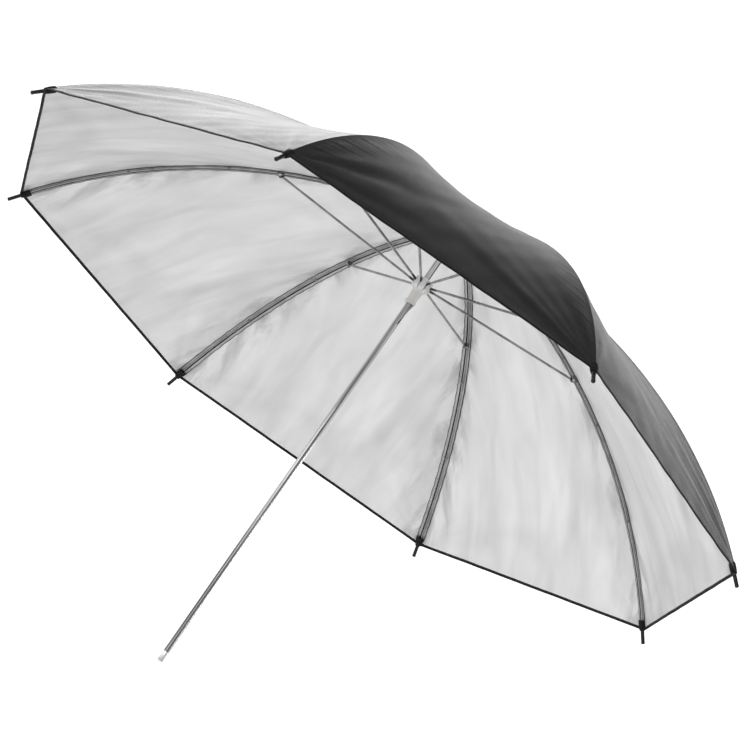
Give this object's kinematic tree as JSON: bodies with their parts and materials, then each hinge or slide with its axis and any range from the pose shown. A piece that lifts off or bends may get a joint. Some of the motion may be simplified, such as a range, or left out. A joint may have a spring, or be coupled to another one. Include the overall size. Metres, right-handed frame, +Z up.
{
  "type": "umbrella reflector",
  "caption": "Folding studio umbrella: black canopy lined in silver on bowed chrome ribs, with a white runner that slides on a plain shaft to open and close it.",
  "frame": {"origin": "centre of the flat end of the shaft, at the end plug", "axes": "+Z runs up the shaft to the crown, +X along rib 1, +Y along rib 3; ribs are numbered anticlockwise seen from above"},
  "size_m": [0.9952, 0.9952, 0.641],
  "materials": {
    "chrome": "bright plated steel",
    "pale_steel": "pale satin",
    "nylon": "natural white nylon",
    "black_plastic": "glossy moulded",
    "black_fabric": "black woven polyester",
    "canopy_fabric": "silver lining inside, black satin outside"
  },
  "bodies": {
    "root": {"shaft_tube": "chrome", "shaft_end_plug": "pale_steel", "top_notch": "nylon", "notch_wire": "chrome", "rosette": "black_fabric", "ferrule_cap": "black_plastic"},
    "catch": {"top_spring_catch": "chrome"},
    "runner": {"runner": "nylon", "runner_wire": "chrome"},
    "rib_1": {"rib_1": "chrome", "rib_tip_1": "black_plastic", "saddle_1": "chrome"},
    "stretcher_1": {"stretcher_1": "chrome"},
    "rib_2": {"rib_2": "chrome", "rib_tip_2": "black_plastic", "saddle_2": "chrome"},
    "stretcher_2": {"stretcher_2": "chrome"},
    "rib_3": {"rib_3": "chrome", "rib_tip_3": "black_plastic", "saddle_3": "chrome"},
    "stretcher_3": {"stretcher_3": "chrome"},
    "rib_4": {"rib_4": "chrome", "rib_tip_4": "black_plastic", "saddle_4": "chrome"},
    "stretcher_4": {"stretcher_4": "chrome"},
    "rib_5": {"rib_5": "chrome", "rib_tip_5": "black_plastic", "saddle_5": "chrome"},
    "stretcher_5": {"stretcher_5": "chrome"},
    "rib_6": {"rib_6": "chrome", "rib_tip_6": "black_plastic", "saddle_6": "chrome"},
    "stretcher_6": {"stretcher_6": "chrome"},
    "rib_7": {"rib_7": "chrome", "rib_tip_7": "black_plastic", "saddle_7": "chrome"},
    "stretcher_7": {"stretcher_7": "chrome"},
    "rib_8": {"rib_8": "chrome", "rib_tip_8": "black_plastic", "saddle_8": "chrome"},
    "stretcher_8": {"stretcher_8": "chrome"},
    "gore_1_near": {"gore_1_near": "canopy_fabric"},
    "gore_1_far": {"gore_1_far": "canopy_fabric"},
    "gore_2_near": {"gore_2_near": "canopy_fabric"},
    "gore_2_far": {"gore_2_far": "canopy_fabric"},
    "gore_3_near": {"gore_3_near": "canopy_fabric"},
    "gore_3_far": {"gore_3_far": "canopy_fabric"},
    "gore_4_near": {"gore_4_near": "canopy_fabric"},
    "gore_4_far": {"gore_4_far": "canopy_fabric"},
    "gore_5_near": {"gore_5_near": "canopy_fabric"},
    "gore_5_far": {"gore_5_far": "canopy_fabric"},
    "gore_6_near": {"gore_6_near": "canopy_fabric"},
    "gore_6_far": {"gore_6_far": "canopy_fabric"},
    "gore_7_near": {"gore_7_near": "canopy_fabric"},
    "gore_7_far": {"gore_7_far": "canopy_fabric"},
    "gore_8_near": {"gore_8_near": "canopy_fabric"},
    "gore_8_far": {"gore_8_far": "canopy_fabric"}
  },
  "joints": [
    {"name": "runner_slide", "type": "slide", "parent": "root", "child": "runner", "axis": [0, 0, -1], "range_m": [0, 0.3461]},
    {"name": "catch_press", "type": "hinge", "parent": "root", "child": "catch", "pos_m": [0.00046, -0.00111, 0.4732], "axis": [-0.9239, -0.3827, 0], "range_deg": [0, 7.5], "stiffness_Nm_per_rad": 0.6, "deforming": ["top_spring_catch"]},
    {"name": "rib_1_fold", "type": "hinge", "parent": "root", "child": "rib_1", "pos_m": [0.0082, 0, 0.6045], "axis": [0, 1, 0], "range_deg": [0, 64.5]},
    {"name": "stretcher_1_fold", "type": "hinge", "parent": "rib_1", "child": "stretcher_1", "pos_m": [0.22563, 0, 0.56867], "axis": [0, 1, 0], "range_deg": [-128.16, 0]},
    {"name": "rib_2_fold", "type": "hinge", "parent": "root", "child": "rib_2", "pos_m": [0.0058, 0.0058, 0.6045], "axis": [-0.7071, 0.7071, 0], "range_deg": [0, 64.5]},
    {"name": "stretcher_2_fold", "type": "hinge", "parent": "rib_2", "child": "stretcher_2", "pos_m": [0.15954, 0.15954, 0.56867], "axis": [-0.7071, 0.7071, 0], "range_deg": [-128.16, 0]},
    {"name": "rib_3_fold", "type": "hinge", "parent": "root", "child": "rib_3", "pos_m": [0, 0.0082, 0.6045], "axis": [-1, 0, 0], "range_deg": [0, 64.5]},
    {"name": "stretcher_3_fold", "type": "hinge", "parent": "rib_3", "child": "stretcher_3", "pos_m": [0, 0.22563, 0.56867], "axis": [-1, 0, 0], "range_deg": [-128.16, 0]},
    {"name": "rib_4_fold", "type": "hinge", "parent": "root", "child": "rib_4", "pos_m": [-0.0058, 0.0058, 0.6045], "axis": [-0.7071, -0.7071, 0], "range_deg": [0, 64.5]},
    {"name": "stretcher_4_fold", "type": "hinge", "parent": "rib_4", "child": "stretcher_4", "pos_m": [-0.15954, 0.15954, 0.56867], "axis": [-0.7071, -0.7071, 0], "range_deg": [-128.16, 0]},
    {"name": "rib_5_fold", "type": "hinge", "parent": "root", "child": "rib_5", "pos_m": [-0.0082, 0, 0.6045], "axis": [0, -1, 0], "range_deg": [0, 64.5]},
    {"name": "stretcher_5_fold", "type": "hinge", "parent": "rib_5", "child": "stretcher_5", "pos_m": [-0.22563, 0, 0.56867], "axis": [0, -1, 0], "range_deg": [-128.16, 0]},
    {"name": "rib_6_fold", "type": "hinge", "parent": "root", "child": "rib_6", "pos_m": [-0.0058, -0.0058, 0.6045], "axis": [0.7071, -0.7071, 0], "range_deg": [0, 64.5]},
    {"name": "stretcher_6_fold", "type": "hinge", "parent": "rib_6", "child": "stretcher_6", "pos_m": [-0.15954, -0.15954, 0.56867], "axis": [0.7071, -0.7071, 0], "range_deg": [-128.16, 0]},
    {"name": "rib_7_fold", "type": "hinge", "parent": "root", "child": "rib_7", "pos_m": [0, -0.0082, 0.6045], "axis": [1, 0, 0], "range_deg": [0, 64.5]},
    {"name": "stretcher_7_fold", "type": "hinge", "parent": "rib_7", "child": "stretcher_7", "pos_m": [0, -0.22563, 0.56867], "axis": [1, 0, 0], "range_deg": [-128.16, 0]},
    {"name": "rib_8_fold", "type": "hinge", "parent": "root", "child": "rib_8", "pos_m": [0.0058, -0.0058, 0.6045], "axis": [0.7071, 0.7071, 0], "range_deg": [0, 64.5]},
    {"name": "stretcher_8_fold", "type": "hinge", "parent": "rib_8", "child": "stretcher_8", "pos_m": [0.15954, -0.15954, 0.56867], "axis": [0.7071, 0.7071, 0], "range_deg": [-128.16, 0]},
    {"name": "gore_1_near_fold", "type": "hinge", "parent": "rib_1", "child": "gore_1_near", "pos_m": [0.23486, 0.27917, 0.73232], "axis": [-0.7896, 0.5043, 0.3495], "range_deg": [0, 45.99], "deforming": ["gore_1_near"]},
    {"name": "gore_1_far_fold", "type": "hinge", "parent": "rib_2", "child": "gore_1_far", "pos_m": [0.36348, -0.03134, 0.73232], "axis": [0.2018, 0.915, -0.3495], "range_deg": [0, 45.99], "deforming": ["gore_1_far"]},
    {"name": "gore_2_near_fold", "type": "hinge", "parent": "rib_2", "child": "gore_2_near", "pos_m": [-0.03134, 0.36348, 0.73232], "axis": [-0.915, -0.2018, 0.3495], "range_deg": [0, 45.99], "deforming": ["gore_2_near"]},
    {"name": "gore_2_far_fold", "type": "hinge", "parent": "rib_3", "child": "gore_2_far", "pos_m": [0.27917, 0.23486, 0.73232], "axis": [-0.5043, 0.7896, -0.3495], "range_deg": [0, 45.99], "deforming": ["gore_2_far"]},
    {"name": "gore_3_near_fold", "type": "hinge", "parent": "rib_3", "child": "gore_3_near", "pos_m": [-0.27917, 0.23486, 0.73232], "axis": [-0.5043, -0.7896, 0.3495], "range_deg": [0, 45.99], "deforming": ["gore_3_near"]},
    {"name": "gore_3_far_fold", "type": "hinge", "parent": "rib_4", "child": "gore_3_far", "pos_m": [0.03134, 0.36348, 0.73232], "axis": [-0.915, 0.2018, -0.3495], "range_deg": [0, 45.99], "deforming": ["gore_3_far"]},
    {"name": "gore_4_near_fold", "type": "hinge", "parent": "rib_4", "child": "gore_4_near", "pos_m": [-0.36348, -0.03134, 0.73232], "axis": [0.2018, -0.915, 0.3495], "range_deg": [0, 45.99], "deforming": ["gore_4_near"]},
    {"name": "gore_4_far_fold", "type": "hinge", "parent": "rib_5", "child": "gore_4_far", "pos_m": [-0.23486, 0.27917, 0.73232], "axis": [-0.7896, -0.5043, -0.3495], "range_deg": [0, 45.99], "deforming": ["gore_4_far"]},
    {"name": "gore_5_near_fold", "type": "hinge", "parent": "rib_5", "child": "gore_5_near", "pos_m": [-0.23486, -0.27917, 0.73232], "axis": [0.7896, -0.5043, 0.3495], "range_deg": [0, 45.99], "deforming": ["gore_5_near"]},
    {"name": "gore_5_far_fold", "type": "hinge", "parent": "rib_6", "child": "gore_5_far", "pos_m": [-0.36348, 0.03134, 0.73232], "axis": [-0.2018, -0.915, -0.3495], "range_deg": [0, 45.99], "deforming": ["gore_5_far"]},
    {"name": "gore_6_near_fold", "type": "hinge", "parent": "rib_6", "child": "gore_6_near", "pos_m": [0.03134, -0.36348, 0.73232], "axis": [0.915, 0.2018, 0.3495], "range_deg": [0, 45.99], "deforming": ["gore_6_near"]},
    {"name": "gore_6_far_fold", "type": "hinge", "parent": "rib_7", "child": "gore_6_far", "pos_m": [-0.27917, -0.23486, 0.73232], "axis": [0.5043, -0.7896, -0.3495], "range_deg": [0, 45.99], "deforming": ["gore_6_far"]},
    {"name": "gore_7_near_fold", "type": "hinge", "parent": "rib_7", "child": "gore_7_near", "pos_m": [0.27917, -0.23486, 0.73232], "axis": [0.5043, 0.7896, 0.3495], "range_deg": [0, 45.99], "deforming": ["gore_7_near"]},
    {"name": "gore_7_far_fold", "type": "hinge", "parent": "rib_8", "child": "gore_7_far", "pos_m": [-0.03134, -0.36348, 0.73232], "axis": [0.915, -0.2018, -0.3495], "range_deg": [0, 45.99], "deforming": ["gore_7_far"]},
    {"name": "gore_8_near_fold", "type": "hinge", "parent": "rib_8", "child": "gore_8_near", "pos_m": [0.36348, 0.03134, 0.73232], "axis": [-0.2018, 0.915, 0.3495], "range_deg": [0, 45.99], "deforming": ["gore_8_near"]},
    {"name": "gore_8_far_fold", "type": "hinge", "parent": "rib_1", "child": "gore_8_far", "pos_m": [0.23486, -0.27917, 0.73232], "axis": [0.7896, 0.5043, -0.3495], "range_deg": [0, 45.99], "deforming": ["gore_8_far"]}
  ],
  "couplings": [
    {"joint": "rib_1_fold", "follows": "runner_slide", "rad_per_m": 3.2526},
    {"joint": "stretcher_1_fold", "follows": "runner_slide", "rad_per_m": -6.4627},
    {"joint": "rib_2_fold", "follows": "runner_slide", "rad_per_m": 3.2526},
    {"joint": "stretcher_2_fold", "follows": "runner_slide", "rad_per_m": -6.4627},
    {"joint": "rib_3_fold", "follows": "runner_slide", "rad_per_m": 3.2526},
    {"joint": "stretcher_3_fold", "follows": "runner_slide", "rad_per_m": -6.4627},
    {"joint": "rib_4_fold", "follows": "runner_slide", "rad_per_m": 3.2526},
    {"joint": "stretcher_4_fold", "follows": "runner_slide", "rad_per_m": -6.4627},
    {"joint": "rib_5_fold", "follows": "runner_slide", "rad_per_m": 3.2526},
    {"joint": "stretcher_5_fold", "follows": "runner_slide", "rad_per_m": -6.4627},
    {"joint": "rib_6_fold", "follows": "runner_slide", "rad_per_m": 3.2526},
    {"joint": "stretcher_6_fold", "follows": "runner_slide", "rad_per_m": -6.4627},
    {"joint": "rib_7_fold", "follows": "runner_slide", "rad_per_m": 3.2526},
    {"joint": "stretcher_7_fold", "follows": "runner_slide", "rad_per_m": -6.4627},
    {"joint": "rib_8_fold", "follows": "runner_slide", "rad_per_m": 3.2526},
    {"joint": "stretcher_8_fold", "follows": "runner_slide", "rad_per_m": -6.4627},
    {"joint": "gore_1_near_fold", "follows": "runner_slide", "rad_per_m": 2.3193},
    {"joint": "gore_1_far_fold", "follows": "runner_slide", "rad_per_m": 2.3193},
    {"joint": "gore_2_near_fold", "follows": "runner_slide", "rad_per_m": 2.3193},
    {"joint": "gore_2_far_fold", "follows": "runner_slide", "rad_per_m": 2.3193},
    {"joint": "gore_3_near_fold", "follows": "runner_slide", "rad_per_m": 2.3193},
    {"joint": "gore_3_far_fold", "follows": "runner_slide", "rad_per_m": 2.3193},
    {"joint": "gore_4_near_fold", "follows": "runner_slide", "rad_per_m": 2.3193},
    {"joint": "gore_4_far_fold", "follows": "runner_slide", "rad_per_m": 2.3193},
    {"joint": "gore_5_near_fold", "follows": "runner_slide", "rad_per_m": 2.3193},
    {"joint": "gore_5_far_fold", "follows": "runner_slide", "rad_per_m": 2.3193},
    {"joint": "gore_6_near_fold", "follows": "runner_slide", "rad_per_m": 2.3193},
    {"joint": "gore_6_far_fold", "follows": "runner_slide", "rad_per_m": 2.3193},
    {"joint": "gore_7_near_fold", "follows": "runner_slide", "rad_per_m": 2.3193},
    {"joint": "gore_7_far_fold", "follows": "runner_slide", "rad_per_m": 2.3193},
    {"joint": "gore_8_near_fold", "follows": "runner_slide", "rad_per_m": 2.3193},
    {"joint": "gore_8_far_fold", "follows": "runner_slide", "rad_per_m": 2.3193}
  ]
}
